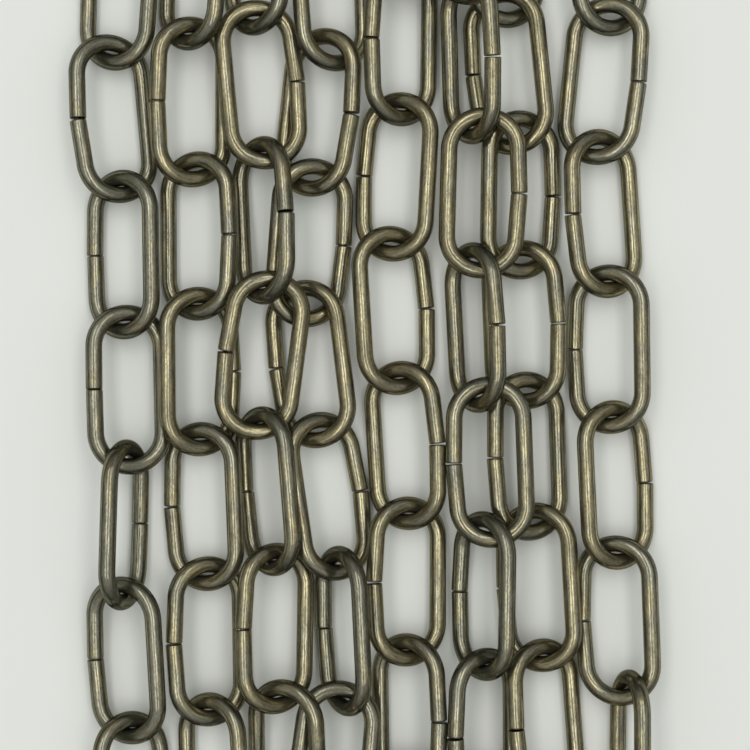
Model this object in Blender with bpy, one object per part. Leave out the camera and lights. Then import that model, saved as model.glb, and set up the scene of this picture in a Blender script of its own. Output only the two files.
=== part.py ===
"""Heap of decorative chain: one length of sixty oval wire links, folded into eight runs that
lie side by side and partly on each other. Metres, +Z up; sizes below are in millimetres.

Each link is round wire bent to a long oval, its two ends butted in the middle of one side.
"""
from collections import namedtuple
import math

import bmesh
import bpy
from mathutils import Matrix
import numpy as np

MM = 0.001

# One link
WIRE = 3.75
LINK_LONG = 38.5
LINK_WIDE = 19.1
CUT = 0.4  # the slit between the two butted ends
KINK = math.radians(6)  # the two halves of the cut side lean out by this much between them
SIDES = 12
BEND_STEPS = 6  # straight pieces in each half-round end
BEND = (LINK_WIDE - WIRE) / 2  # centreline radius of an end
LEG = (LINK_LONG - LINK_WIDE) / 2  # half the straight part of a side
WIRE_CORNER = WIRE / 2 * math.sqrt(2 * math.pi / (SIDES * math.sin(2 * math.pi / SIDES)))
WIRE_FLAT = WIRE_CORNER * math.cos(math.pi / SIDES)

# How the links lie on each other
CLEAR = 4.05  # least distance between two centrelines: the wire and a running gap
SAMPLES = 66
ROUNDS = 80
NEAR = LINK_LONG + 3
HOLD_PLACE, HOLD_LEAN, HOLD_ROLL, HOLD_PITCH, HOLD_LOW = 0.5, 0.5, 0.25, 0.12, 0.14
HOLD_CLEAR = 30.0
SETTLING = 1.07
LARGEST_STEP = 0.4
THIN, GROWN = 0.3, 0.5  # the wire starts this thin, and is whole after this share of rounds
LEVEL = 0.012  # a link sloping less than this lies on its flat, one sloping more on a corner

LEFT, RIGHT = -1, 1

# Where a link's middle lies in plan, how far its top leans to the left, how far its right side
# is rolled up (degrees), the side with the cut, the height it is laid down from, and its slope.
Lie = namedtuple("Lie", "x y lean roll cut lift pitch", defaults=(0, 0))

HEAP = [
    # first run, laid from the top down
    Lie(-57.1, 87.6, -4.0, 25, LEFT),
    Lie(-58.7, 58.0, 5.5, -25, LEFT),
    Lie(-56.4, 27.5, 0.0, 25, LEFT),
    Lie(-54.8, -3.3, 2.2, -18, LEFT),
    Lie(-56.0, -33.7, -1.3, -63, RIGHT),
    Lie(-55.5, -64.3, 2.6, 25, LEFT),
    Lie(-54.3, -94.3, 3.0, -30, RIGHT),
    # turn at the bottom
    Lie(-42.9, -113.0, -77.0, -20, LEFT),
    # second run, upwards
    Lie(-36.5, -89.7, 1.0, 30, RIGHT),
    Lie(-37.2, -60.1, 1.0, -22, LEFT),
    Lie(-38.3, -29.7, 2.0, 14, LEFT),
    Lie(-39.6, 1.0, 0.7, -23, RIGHT),
    Lie(-40.0, 31.4, 0.2, 25, RIGHT),
    Lie(-41.0, 61.1, -0.5, -24, LEFT),
    Lie(-40.8, 91.3, -1.0, 28, RIGHT),
    # turn at the top
    Lie(-34.7, 114.6, -75.0, 20, LEFT),
    # third run, downwards
    Lie(-26.2, 95.2, -5.0, 38, RIGHT),
    Lie(-25.5, 65.0, 8.3, -5, RIGHT, lift=4.5),
    Lie(-25.4, 34.7, 3.5, 43, RIGHT),
    Lie(-24.8, 4.2, -9.5, -3, LEFT, lift=4.5),
    Lie(-23.9, -26.2, 4.7, 45, LEFT),
    Lie(-21.5, -56.9, 0.4, -23, LEFT),
    Lie(-20.0, -87.5, -1.0, 20, RIGHT, lift=1.5, pitch=8),
    # fourth run, upwards
    Lie(-9.4, -87.3, -1.0, 0, LEFT, lift=4, pitch=-6),
    Lie(-6.8, -56.8, 2.6, 66, LEFT),
    Lie(-10.7, -27.0, 8.0, -25, RIGHT),
    Lie(-14.3, 2.6, 6.4, 9, LEFT),
    Lie(-15.1, 30.1, -4.1, -15, RIGHT),
    Lie(-13.1, 59.1, -5.7, 22, RIGHT),
    Lie(-9.6, 87.2, 4.0, -28, LEFT),
    # turn at the top
    Lie(0.7, 100.4, -128.0, 6, LEFT, lift=2, pitch=12),
    # fifth run, downwards
    Lie(6.1, 74.4, -1.0, -25, LEFT),
    Lie(5.1, 44.7, -3.0, 23, LEFT),
    Lie(3.9, 14.8, 3.7, -17, RIGHT),
    Lie(6.5, -15.8, 3.0, 23, RIGHT),
    Lie(7.4, -46.8, 0.0, -20, LEFT),
    Lie(7.6, -77.0, 1.0, 27, RIGHT),
    # turn at the bottom
    Lie(14.2, -95.8, -95.0, -3, LEFT, lift=3),
    # sixth run, upwards
    Lie(24.6, -80.1, 1.0, -32, LEFT, lift=1),
    Lie(24.2, -49.8, 0.8, 46, LEFT),
    Lie(26.0, -19.4, 1.9, 0, LEFT, lift=4.5),
    Lie(21.8, 10.9, 1.9, 50, RIGHT),
    Lie(23.9, 40.5, -1.8, 5, RIGHT, lift=4.5),
    Lie(21.3, 70.2, 1.0, 54, RIGHT),
    Lie(20.1, 100.8, 0.0, -8, LEFT, lift=4, pitch=-9),
    # seventh run, downwards
    Lie(29.0, 97.4, 0.0, -18, RIGHT, lift=2.5, pitch=9),
    Lie(30.0, 68.6, 5.0, 8, LEFT),
    Lie(32.5, 40.5, -1.1, -19, RIGHT),
    Lie(33.3, 11.6, 2.1, 12, RIGHT),
    Lie(34.5, -18.1, 0.9, -15, LEFT),
    Lie(37.1, -47.8, 2.4, 13, LEFT),
    Lie(38.5, -78.2, 5.0, -27, LEFT),
    # turn at the bottom
    Lie(48.7, -103.0, -111.0, -20, LEFT, pitch=6),
    # eighth run, upwards
    Lie(57.2, -84.9, -2.0, 75, LEFT),
    Lie(54.3, -55.2, 0.5, 20, LEFT),
    Lie(53.9, -24.7, 2.9, -25, RIGHT),
    Lie(52.7, 6.0, 0.4, 18, LEFT),
    Lie(51.4, 36.5, 3.7, -27, LEFT),
    Lie(51.1, 66.3, -6.3, 16, RIGHT),
    Lie(52.9, 95.3, 0.0, -25, LEFT),
]


def oval(steps):
    """Points and unit tangents of a link's centreline, counter-clockwise from the right side,
    which is the one with the cut and leans out towards it."""
    straight, bend = 2 * LEG, math.pi * BEND
    points, tangents = [], []
    for i in range(steps):
        s = (i + 0.5) / steps * 2 * (straight + bend)
        half, s = (1, s) if s < straight + bend else (-1, s - straight - bend)
        if s < straight:
            out = (LEG - abs(s - LEG)) * math.tan(KINK / 2) if half > 0 else 0
            point, tangent = (BEND + out, s - LEG), (0, 1)
        else:
            a = (s - straight) / BEND
            point = (BEND * math.cos(a), LEG + BEND * math.sin(a))
            tangent = (-math.sin(a), math.cos(a))
        points.append((half * point[0], half * point[1], 0))
        tangents.append((half * tangent[0], half * tangent[1], 0))
    return np.array(points), np.array(tangents)


def turned(angles):
    """Rotation of each link from its lean, roll and pitch, and the axes these turn about."""
    lean, roll, pitch = angles.T
    zero, one = np.zeros(len(lean)), np.ones(len(lean))
    cl, sl, cr, sr, cp, sp = (f(a) for a in (lean, roll, pitch) for f in (np.cos, np.sin))
    about_z = np.array([[cl, -sl, zero], [sl, cl, zero], [zero, zero, one]]).transpose(2, 0, 1)
    about_x = np.array([[one, zero, zero], [zero, cp, -sp], [zero, sp, cp]]).transpose(2, 0, 1)
    about_y = np.array([[cr, zero, -sr], [zero, one, zero], [sr, zero, cr]]).transpose(2, 0, 1)
    sloped = about_z @ about_x
    axes = np.stack([np.broadcast_to((0.0, 0.0, 1.0), (len(lean), 3)), -sloped[:, :, 1],
                     about_z[:, :, 0]], axis=1)
    return sloped @ about_y, axes


def touching(points, tangents, pairs, clear):
    """For each pair of links, where their centrelines come close: the two bodies, both points,
    the direction between them and the distance."""
    first, second = pairs.T
    a, b = points[first], points[second]
    gap = ((a[:, :, None, :] - b[:, None, :, :]) ** 2).sum(-1)
    nearest = gap.argmin(2)
    least = np.take_along_axis(gap, nearest[..., None], 2)[..., 0]
    lowest = (least <= np.roll(least, 1, 1)) & (least <= np.roll(least, -1, 1))
    pick, i = np.nonzero((least < (clear - 0.3) ** 2) | (lowest & (least < (clear + 1.5) ** 2)))
    j = nearest[pick, i]
    p, u = a[pick, i], tangents[first[pick], i]
    q, v = b[pick, j], tangents[second[pick], j]
    w, c = p - q, (u * v).sum(1)
    d, e = (u * w).sum(1), (v * w).sum(1)
    reach = (2 * LEG + math.pi * BEND) / SAMPLES
    spread = np.maximum(1 - c * c, 0.05)
    s = np.where(c * c < 0.95, np.clip((c * e - d) / spread, -reach, reach), 0)
    t = np.clip(e + s * c, -reach, reach)
    p, q = p + u * s[:, None], q + v * t[:, None]
    away = p - q
    distance = np.linalg.norm(away, axis=1)
    return first[pick], second[pick], p, q, away / distance[:, None], distance


def laid(heap):
    """Places the links: each keeps its plan position and tilt as nearly as it can, while it
    sinks to the floor or onto the links under it and stays clear of all the others."""
    count = len(heap)
    lies = np.array([(h.x, h.y, h.lean, h.roll, h.pitch, h.lift) for h in heap], float)
    want = np.zeros((count, 6))
    want[:, :2] = lies[:, :2]
    want[:, 3:] = np.radians(lies[:, 2:5])
    want[:, 2] = WIRE_FLAT + BEND * np.abs(np.sin(want[:, 4]))
    pose = want.copy()
    pose[:, 2] += lies[:, 5]
    hold = np.array([HOLD_PLACE, HOLD_PLACE, HOLD_LOW, HOLD_LEAN, HOLD_ROLL, HOLD_PITCH])
    unit = np.array([1, 1, 1, 10, 10, 10.0])  # an angle counts as its movement 10 mm out
    cut = np.array([h.cut for h in heap], float)[:, None, None]
    line, along = (cut * part for part in oval(SAMPLES))
    for turn in range(ROUNDS):
        rotation, axes = turned(pose[:, 3:])
        arms = np.einsum("nij,nmj->nmi", rotation, line)
        tangents = np.einsum("nij,nmj->nmi", rotation, along)
        points = arms + pose[:, None, :3]
        apart = np.linalg.norm(pose[:, None, :3] - pose[None, :, :3], axis=2)
        pairs = np.array([(i, j) for i in range(count) for j in range(count)
                          if i < j and apart[i, j] < NEAR])
        clear = CLEAR * min(1, THIN + turn / (GROWN * ROUNDS))
        first, second, p, q, away, distance = touching(points, tangents, pairs, clear)
        low = np.argwhere(points[:, ::3, 2] < WIRE_FLAT + 1.5) * (1, 3)
        rows = np.zeros((len(first) + len(low), count, 6))
        floor = np.where(np.abs(pose[:, 5]) > LEVEL, WIRE_CORNER, WIRE_FLAT)[low[:, 0]]
        slack = np.concatenate([distance - clear, points[low[:, 0], low[:, 1], 2] - floor])
        for body, point, sign in ((first, p, 1), (second, q, -1)):
            lever = np.cross(point - pose[body, :3], away)
            n = np.arange(len(body))
            rows[n, body, :3] += sign * away
            rows[n, body, 3:] += sign * np.einsum("nij,nj->ni", axes[body], lever)
        n = np.arange(len(first), len(first) + len(low))
        arm = arms[low[:, 0], low[:, 1]]
        rows[n, low[:, 0], 2] = 1
        up = np.cross(arm, (0.0, 0.0, 1.0))
        rows[n, low[:, 0], 3:] = np.einsum("nij,nj->ni", axes[low[:, 0]], up)
        rows = (rows / unit).reshape(len(rows), -1)
        pull = np.tile(hold ** 2, count)
        rest = ((want - pose) * unit).reshape(-1)
        settle = 0.35 * HOLD_PLACE ** 2 * SETTLING ** turn
        active = slack < 0
        for attempt in range(5):
            some = rows[active]
            left = HOLD_CLEAR ** 2 * some.T @ some + np.diag(pull + settle)
            right = pull * rest - HOLD_CLEAR ** 2 * some.T @ slack[active]
            step = np.linalg.solve(left, right)
            again = slack + rows @ step < 0
            if (again == active).all():
                break
            active = active | again if attempt < 3 else again
        step = np.clip(step, -LARGEST_STEP, LARGEST_STEP)
        pose += step.reshape(count, 6) / unit
    return pose


def link_mesh(name, cut, roll):
    """A link lying flat with its long way along Y, cut in the middle of one side. Its wire's
    facets are turned by the link's roll, so that the lower side lies flat."""
    lean, tip = KINK / 2, BEND + LEG * math.tan(KINK / 2)
    spine = [(tip, 0.5 * CUT, -math.sin(lean), math.cos(lean))]
    for half in (1, -1):
        for i in range(BEND_STEPS + 1):
            a = math.pi * i / BEND_STEPS
            radius = BEND
            if 0 < i < BEND_STEPS:
                radius = BEND * (1 + 0.5 * (1 / math.cos(0.5 * math.pi / BEND_STEPS) - 1))
            spine.append((half * radius * math.cos(a), half * (LEG + radius * math.sin(a)),
                          -half * math.sin(a), half * math.cos(a)))
    spine.append((tip, -0.5 * CUT, math.sin(lean), math.cos(lean)))
    mesh = bpy.data.meshes.new(name)
    bm = bmesh.new()
    rings = []
    for x, y, along_x, along_y in spine:
        aside = (along_y, -along_x)
        ring = []
        for k in range(SIDES):
            a = abs(roll) + 2 * math.pi * (k + 0.5) / SIDES
            r, h = WIRE_CORNER * math.cos(a), WIRE_CORNER * math.sin(a)
            ring.append(bm.verts.new((cut * (x + r * aside[0]) * MM, cut * (y + r * aside[1]) * MM,
                                      h * MM)))
        rings.append(ring)
    for a, b in zip(rings, rings[1:]):
        for k in range(SIDES):
            m = (k + 1) % SIDES
            bm.faces.new((a[k], a[m], b[m], b[k]))
    bm.faces.new(rings[0])
    bm.faces.new(rings[-1][::-1])
    bmesh.ops.recalc_face_normals(bm, faces=bm.faces)
    bm.to_mesh(mesh)
    bm.free()
    mesh.shade_smooth()
    mesh.set_sharp_from_angle(angle=math.radians(50))
    return mesh


def brass():
    material = bpy.data.materials.new("antique_brass")
    material.use_nodes = True
    surface = material.node_tree.nodes["Principled BSDF"]
    surface.inputs["Base Color"].default_value = (0.24, 0.18, 0.09, 1)
    surface.inputs["Metallic"].default_value = 1.0
    surface.inputs["Roughness"].default_value = 0.4
    return material


def build():
    for old in list(bpy.data.objects):
        bpy.data.objects.remove(old)
    material = brass()
    pose = laid(HEAP)
    rotation, _ = turned(pose[:, 3:])
    heap = bpy.data.objects.new("heap", None)
    bpy.context.scene.collection.objects.link(heap)
    links, corners = [], []
    for n, lie in enumerate(HEAP):
        name = f"link_{n + 1:02d}"
        mesh = link_mesh(name, lie.cut, pose[n, 4])
        mesh.materials.append(material)
        link = bpy.data.objects.new(name, mesh)
        bpy.context.scene.collection.objects.link(link)
        link.parent = heap
        place = Matrix(rotation[n].tolist()).to_4x4()
        place.translation = (pose[n, :3] * MM).tolist()
        link.matrix_local = place
        links.append(link)
        corners.extend(place @ vertex.co for vertex in mesh.vertices)
    low = [min(c[k] for c in corners) for k in range(3)]
    high = [max(c[k] for c in corners) for k in range(3)]
    middle = [-(low[0] + high[0]) / 2, -(low[1] + high[1]) / 2, -low[2]]
    for link in links:
        link.location = [link.location[k] + middle[k] for k in range(3)]
    bpy.context.view_layer.update()
    return pose, middle


POSE, MIDDLE = build()
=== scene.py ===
"""Looks for the heap of decorative chain: every link is remade as smooth round wire with its
butted cut, in an aged brass finish, on a plain pale floor under soft light from overhead."""
import math
import random

import bmesh
import bpy
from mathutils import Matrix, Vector
import numpy as np


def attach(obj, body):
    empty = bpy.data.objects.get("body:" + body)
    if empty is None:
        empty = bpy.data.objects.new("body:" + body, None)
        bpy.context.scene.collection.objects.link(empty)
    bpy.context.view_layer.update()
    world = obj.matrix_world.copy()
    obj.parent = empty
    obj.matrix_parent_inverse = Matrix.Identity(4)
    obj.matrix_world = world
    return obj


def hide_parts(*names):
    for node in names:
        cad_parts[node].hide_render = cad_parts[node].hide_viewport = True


MM = 0.001
WIRE = 3.75
LINK_LONG, LINK_WIDE = 38.2, 19.1
BEND = (LINK_WIDE - WIRE) / 2
LEG = (LINK_LONG - LINK_WIDE) / 2
SIDES = 28

# How far the two halves of a link's cut side lean out, in degrees, where it is not the usual
USUAL_KINK = 6.0
KINKS = {"link_02": 9.0, "link_03": 3.0, "link_04": 1.0, "link_05": 3.0, "link_06": 5.0,
         "link_10": 7.5, "link_25": 8.0, "link_29": 8.0}

# Links whose finish is worn to olive, and those that still look golden; the rest lie between
OLIVE = (1, 2, 3, 4, 5, 6, 7, 17, 24, 25, 39, 40, 46, 60)
GOLDEN = (12, 14, 18, 20, 22, 27, 29, 33, 34, 35, 36, 43, 47, 49, 51, 52, 56, 58)

# The photograph's middle in the object's frame, its scale at the wires, and the camera's height
VIEW_MIDDLE = (0.60, -0.92)
VIEW_WIDTH = 169.1
VIEW_HEIGHT = 450.0
AT_WIRES = 4.0

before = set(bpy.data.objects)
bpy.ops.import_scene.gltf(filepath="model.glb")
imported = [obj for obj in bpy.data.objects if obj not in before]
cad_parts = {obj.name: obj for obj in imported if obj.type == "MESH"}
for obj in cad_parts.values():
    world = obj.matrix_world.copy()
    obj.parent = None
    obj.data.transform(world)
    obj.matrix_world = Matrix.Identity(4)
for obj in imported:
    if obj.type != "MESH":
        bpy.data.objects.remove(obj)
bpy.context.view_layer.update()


def link_frame(obj):
    """Middle, the link's own wide, long and upward axes, and the side with the cut."""
    mesh = obj.data
    mesh.calc_loop_triangles()
    v = np.empty(len(mesh.vertices) * 3)
    mesh.vertices.foreach_get("co", v)
    v = v.reshape(-1, 3) / MM
    t = np.empty(len(mesh.loop_triangles) * 3, dtype=np.int32)
    mesh.loop_triangles.foreach_get("vertices", t)
    tri = v[t.reshape(-1, 3)]
    cross = np.cross(tri[:, 1] - tri[:, 0], tri[:, 2] - tri[:, 0])
    area = np.linalg.norm(cross, axis=1) / 2
    normal = cross / np.maximum(np.linalg.norm(cross, axis=1), 1e-12)[:, None]
    centre = tri.mean(1)
    middle = (centre * area[:, None]).sum(0) / area.sum()
    d = tri - middle
    c = d.sum(1)
    spread = (np.einsum("n,nki,nkj->ij", area, d, d) + np.einsum("n,ni,nj->ij", area, c, c)) / 12
    _, axes = np.linalg.eigh(spread)
    up, wide, long = axes[:, 0], axes[:, 1], axes[:, 2]
    up = up * np.sign(up[2])
    long = long * (np.sign(long[1]) if abs(long[1]) > 0.3 else np.sign(long[0]))
    wide = np.cross(long, up)
    y = (centre - middle) @ long
    caps = (np.abs(normal @ long) > 0.98) & (np.abs(y) < 0.6)
    side = 1 if ((centre - middle) @ wide)[caps].mean() > 0 else -1
    middle = middle - wide * side * 0.018
    return middle, wide, long, up, side


def outline(kink):
    """Centreline of a link from one side of the cut round to the other, in its own plane with
    the cut at +X: points and how far each lies into a bend. The two halves of the cut side
    lean out by half the kink each."""
    lean = kink / 2
    out = LEG * math.tan(lean)
    points = []
    steps = 12
    for i in range(steps):
        f = (i / steps) ** 1.5
        points.append((BEND + out * (1 - f), LEG * f, 0.0))
    bend = 30
    for i in range(bend + 1):
        a = math.pi * i / bend
        points.append((BEND * math.cos(a), LEG + BEND * math.sin(a), math.sin(a)))
    for i in range(1, 12):
        points.append((-BEND, LEG - 2 * LEG * i / 12, 0.0))
    for i in range(bend + 1):
        a = math.pi * i / bend
        points.append((-BEND * math.cos(a), -LEG - BEND * math.sin(a), math.sin(a)))
    for i in range(steps - 1, -1, -1):
        f = (i / steps) ** 1.5
        points.append((BEND + out * (1 - f), -LEG * f, 0.0))
    return np.array(points)


def fine_link(name, node, rng):
    middle, wide, long, up, side = link_frame(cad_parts[node])
    kink = math.radians(KINKS.get(node, USUAL_KINK) + rng.uniform(-1.0, 1.0))
    path = outline(kink)
    flat, bend = path[:, :2], path[:, 2]
    run = np.concatenate([[0], np.cumsum(np.linalg.norm(np.diff(flat, axis=0), axis=1))])
    tangent = np.gradient(flat, run, axis=0)
    tangent /= np.linalg.norm(tangent, axis=1)[:, None]
    n = len(flat)
    # Slow unevenness of hand-fed wire, nothing at the cut
    wobble = np.sin(run / run[-1] * math.pi)
    phase = rng.uniform(0, 6.28)
    lift = 0.05 * wobble * np.sin(run / 13.0 + phase)
    offset = rng.uniform(-0.12, 0.12)
    near_cut = np.exp(-np.minimum(run, run[-1] - run) / 5.0)
    lift = lift + offset * near_cut * np.where(run < run[-1] / 2, 1, -1)
    half_gap = WIRE / 2 * math.tan(kink / 2) + rng.uniform(0.0, 0.035)
    rings = [(0.0, 0.83), (0.06, 0.94), (0.20, 0.992)]
    stations = []
    for s, r in rings:
        stations.append((s + half_gap, r))
    for i in range(1, n - 1):
        if run[i] > 0.6 and run[-1] - run[i] > 0.6:
            stations.append((run[i], 1.0))
    for s, r in reversed(rings):
        stations.append((run[-1] - s - half_gap, r))
    bm = bmesh.new()
    along = bm.verts.layers.float_vector.new("wire")
    inbend = bm.verts.layers.float.new("bend")
    atcut = bm.verts.layers.float.new("cut")
    loops = []
    tilt = [rng.uniform(-0.05, 0.05), rng.uniform(-0.05, 0.05)]
    for s, r in stations:
        x, y = np.interp(s, run, flat[:, 0]), np.interp(s, run, flat[:, 1])
        tx, ty = np.interp(s, run, tangent[:, 0]), np.interp(s, run, tangent[:, 1])
        h = np.interp(s, run, lift)
        b = np.interp(s, run, bend)
        end = math.exp(-min(s, run[-1] - s) / 1.2)
        k = 0 if s < run[-1] / 2 else 1
        ring = []
        for q in range(SIDES):
            a = 2 * math.pi * q / SIDES
            ca, sa = math.cos(a), math.sin(a)
            radius = WIRE / 2 * r * (1 - 0.018 * b * ca * ca)
            slide = tilt[k] * radius * sa * end
            px = x + radius * ca * ty + slide * tx
            py = y - radius * ca * tx + slide * ty
            pz = h + radius * sa
            p = middle + (wide * px + long * py) * side + up * pz
            vert = bm.verts.new(Vector(p) * MM)
            vert[along] = (s, ca * WIRE / 2, sa * WIRE / 2)
            vert[inbend] = b
            vert[atcut] = min(1.0, (1.0 - r) * 20)
            ring.append(vert)
        loops.append(ring)
    for a, b in zip(loops, loops[1:]):
        for q in range(SIDES):
            m = (q + 1) % SIDES
            bm.faces.new((a[q], a[m], b[m], b[q])).smooth = True
    bm.faces.new(loops[0])
    bm.faces.new(loops[-1][::-1])
    bmesh.ops.recalc_face_normals(bm, faces=bm.faces)
    lowest = min(vert.co.z for vert in bm.verts)
    if lowest < 0:
        bmesh.ops.translate(bm, vec=(0, 0, -lowest), verts=bm.verts)
    mesh = bpy.data.meshes.new(name)
    bm.to_mesh(mesh)
    bm.free()
    obj = bpy.data.objects.new(name, mesh)
    bpy.context.scene.collection.objects.link(obj)
    return obj


def nodes_of(material):
    material.use_nodes = True
    tree = material.node_tree
    return tree, tree.nodes["Principled BSDF"]


def aged_brass_painted_shade(name, seed, shift):
    """Brass plating worn to dark brown: streaks along the wire and fine speckle, with painted
    shade darkening the bends, the wire's sides as seen from above, and the ends at the cut.
    """
    material = bpy.data.materials.new(name)
    tree, surface = nodes_of(material)
    new, link = tree.nodes.new, tree.links.new

    wire = new("ShaderNodeAttribute")
    wire.attribute_name = "wire"
    bend = new("ShaderNodeAttribute")
    bend.attribute_name = "bend"
    cut = new("ShaderNodeAttribute")
    cut.attribute_name = "cut"

    def noise(scale, detail, rough, stretch):
        place = new("ShaderNodeMapping")
        place.inputs["Location"].default_value = (seed * 37.1, seed * 11.7, seed * 5.3)
        place.inputs["Scale"].default_value = stretch
        link(wire.outputs["Vector"], place.inputs["Vector"])
        node = new("ShaderNodeTexNoise")
        node.inputs["Scale"].default_value = scale
        node.inputs["Detail"].default_value = detail
        node.inputs["Roughness"].default_value = rough
        link(place.outputs["Vector"], node.inputs["Vector"])
        return node.outputs["Fac"]

    def ramp(value, stops):
        node = new("ShaderNodeValToRGB")
        points = node.color_ramp.elements
        while len(points) < len(stops):
            points.new(0.5)
        for point, (place, colour) in zip(points, stops):
            point.position = place
            point.color = (*colour, 1) if len(colour) == 3 else colour
        link(value, node.inputs["Fac"])
        return node.outputs["Color"]

    def mixed(a, b, fac, kind="MIX"):
        node = new("ShaderNodeMix")
        node.data_type = "RGBA"
        node.blend_type = kind
        for value, slot in ((fac, 0), (a, 6), (b, 7)):
            if isinstance(value, (int, float)):
                node.inputs[slot].default_value = value
            elif isinstance(value, tuple):
                node.inputs[slot].default_value = (*value, 1)
            else:
                link(value, node.inputs[slot])
        return node.outputs[2]

    streaks = noise(1.0, 5, 0.6, (0.16, 1.5, 1.5))
    patches = noise(1.0, 4, 0.55, (0.10, 0.35, 0.35))
    stains = noise(1.0, 5, 0.65, (0.35, 0.9, 0.9))
    speckle = noise(1.0, 5, 0.65, (1.3, 3.6, 3.6))
    brassy = ramp(streaks, [(0.30, (0.195, 0.178, 0.115)), (0.50, (0.326, 0.299, 0.186)),
                            (0.68, (0.52, 0.46, 0.275))])
    olive = ramp(streaks, [(0.30, (0.170, 0.169, 0.125)), (0.50, (0.254, 0.250, 0.188)),
                           (0.68, (0.39, 0.37, 0.260))])
    worn = ramp(patches, [(0.40 + shift, (0, 0, 0)), (0.58 + shift, (1, 1, 1))])
    colour = mixed(brassy, olive, worn)
    reddish = ramp(stains, [(0.58, (1, 1, 1)), (0.70, (0.82, 0.66, 0.58))])
    colour = mixed(colour, reddish, 1.0, "MULTIPLY")
    grain = ramp(speckle, [(0.38, (0.66, 0.63, 0.58)), (0.53, (1.0, 1.0, 1.0))])
    colour = mixed(colour, grain, 1.0, "MULTIPLY")
    # Painted shade: the bows are painted darker the further into a bend, down to about three
    # quarters at the crown
    painted_bend_shade = ramp(bend.outputs["Fac"], [(0.25, (1, 1, 1)), (1.0, (0.78, 0.775, 0.75))])
    colour = mixed(colour, painted_bend_shade, 1.0, "MULTIPLY")
    # Painted shade: the wire's sides, as seen from above, are painted darker, down to half in the
    # bends and a quarter as much along the legs
    split = new("ShaderNodeSeparateXYZ")
    link(wire.outputs["Vector"], split.inputs["Vector"])
    aside = new("ShaderNodeMath")
    aside.operation = "ABSOLUTE"
    link(split.outputs["Y"], aside.inputs[0])
    flank = new("ShaderNodeMapRange")
    flank.inputs["From Min"].default_value = 0.55 * WIRE / 2
    flank.inputs["From Max"].default_value = 0.95 * WIRE / 2
    link(aside.outputs["Value"], flank.inputs["Value"])
    side_shade_in_bend = new("ShaderNodeMapRange")
    side_shade_in_bend.inputs["To Min"].default_value = 0.25
    link(bend.outputs["Fac"], side_shade_in_bend.inputs["Value"])
    dark = new("ShaderNodeMath")
    dark.operation = "MULTIPLY"
    link(flank.outputs["Result"], dark.inputs[0])
    link(side_shade_in_bend.outputs["Result"], dark.inputs[1])
    colour = mixed(colour, mixed(colour, (0.50, 0.50, 0.48), 1.0, "MULTIPLY"), dark.outputs["Value"])
    # Painted shade: the end faces at the cut are painted nearly black, for the shade in the cut's
    # narrow gap
    painted_cut_shade = mixed(colour, (0.22, 0.21, 0.20), 1.0, "MULTIPLY")
    colour = mixed(colour, painted_cut_shade, cut.outputs["Fac"])
    link(colour, surface.inputs["Base Color"])
    surface.inputs["Metallic"].default_value = 0.86
    surface.inputs["Specular Tint"].default_value = (0.40, 0.39, 0.36, 1)
    surface.inputs["Coat Weight"].default_value = 0.06
    surface.inputs["Coat Roughness"].default_value = 0.10
    rough = new("ShaderNodeMapRange")
    link(speckle, rough.inputs["Value"])
    rough.inputs["From Min"].default_value = 0.3
    rough.inputs["From Max"].default_value = 0.7
    rough.inputs["To Min"].default_value = 0.20
    rough.inputs["To Max"].default_value = 0.12
    link(rough.outputs["Result"], surface.inputs["Roughness"])
    scratch = noise(1.0, 4, 0.6, (0.5, 7.0, 7.0))
    bump = new("ShaderNodeBump")
    bump.inputs["Strength"].default_value = 0.22
    bump.inputs["Distance"].default_value = 0.0001
    link(mixed(scratch, speckle, 0.5), bump.inputs["Height"])
    link(bump.outputs["Normal"], surface.inputs["Normal"])
    return material


def floor():
    bpy.ops.mesh.primitive_plane_add(size=3.0, location=(0, 0, -0.0001))
    plane = bpy.context.object
    plane.name = "floor"
    material = bpy.data.materials.new("pale_floor")
    _, surface = nodes_of(material)
    surface.inputs["Base Color"].default_value = (0.85, 0.87, 0.805, 1)
    surface.inputs["Roughness"].default_value = 0.75
    surface.inputs["Specular IOR Level"].default_value = 0.2
    plane.data.materials.append(material)


def softbox(name, x, y, z, width, depth, power, aim=(0, 0, 0), tint=(1, 1, 1)):
    data = bpy.data.lights.new(name, "AREA")
    data.shape = "RECTANGLE"
    data.size, data.size_y = width, depth
    data.energy = power
    data.color = tint
    lamp = bpy.data.objects.new(name, data)
    lamp.location = (x, y, z)
    lamp.rotation_euler = (Vector(aim) - Vector((x, y, z))).to_track_quat("-Z", "Y").to_euler()
    bpy.context.scene.collection.objects.link(lamp)


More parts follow.
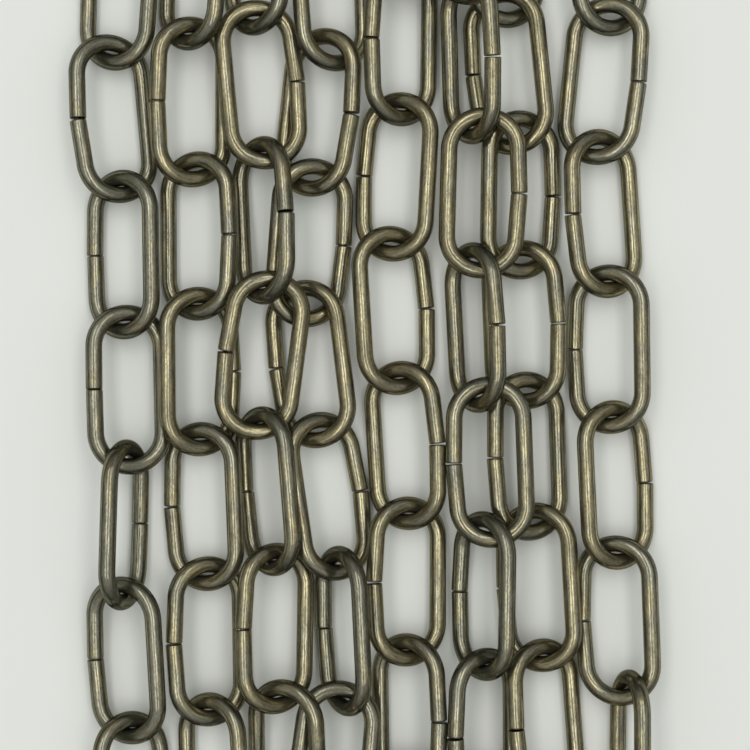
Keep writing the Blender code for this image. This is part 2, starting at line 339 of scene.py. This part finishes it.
def light():
    """A pale ceiling and dim walls all round, and two long windows overhead either side of the
    camera, so that the wire shows a narrow double streak between dark flanks."""
    world = bpy.data.worlds.new("room")
    bpy.context.scene.world = world
    world.use_nodes = True
    tree = world.node_tree
    new, link = tree.nodes.new, tree.links.new
    where = new("ShaderNodeTexCoord")
    split = new("ShaderNodeSeparateXYZ")
    link(where.outputs["Generated"], split.inputs["Vector"])
    # Bright ceiling, dim walls, and whoever takes the photograph straight above
    height = new("ShaderNodeValToRGB")
    points = height.color_ramp.elements
    points.new(0.5)
    for point, (place, strength) in zip(points, [(0.12, 0.09), (0.93, 0.88), (0.965, 0.52)]):
        point.position = place
        point.color = (strength, strength, strength, 1)
    link(split.outputs["Z"], height.inputs["Fac"])
    link(height.outputs["Color"], tree.nodes["Background"].inputs["Strength"])
    tree.nodes["Background"].inputs["Color"].default_value = (0.97, 0.98, 1.0, 1)
    for side, power in ((-1, 1.92), (1, 1.78)):
        x = side * 0.25
        softbox("left_strip" if side < 0 else "right_strip", x, 0.10, 0.90, 0.22, 1.1, power,
                aim=(x, 0.10, 0))
    bpy.context.scene.view_settings.view_transform = "Standard"


def camera():
    data = bpy.data.cameras.new("camera")
    eye = bpy.data.objects.new("camera", data)
    eye.location = (VIEW_MIDDLE[0] * MM, VIEW_MIDDLE[1] * MM, VIEW_HEIGHT * MM)
    eye.rotation_euler = (0, 0, 0)
    data.sensor_fit = "HORIZONTAL"
    data.angle = 2 * math.atan(VIEW_WIDTH / 2 / (VIEW_HEIGHT - AT_WIRES))
    data.clip_start = 0.01
    bpy.context.scene.collection.objects.link(eye)
    bpy.context.scene.camera = eye


camera()
floor()
light()
finishes = [aged_brass_painted_shade(f"aged_brass_painted_shade_{k}", k + 1, shift)
            for k, shift in enumerate((-0.12, 0.09, -0.03, 0.03))]
rng = random.Random(7)
for number, node in enumerate(sorted(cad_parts)):
    piece = fine_link(node + "_wire", node, rng)
    place = number + 1
    finish = 0 if place in OLIVE else 1 if place in GOLDEN else 2 + number % 2
    piece.data.materials.append(finishes[finish])
    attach(piece, "root")
    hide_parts(node)
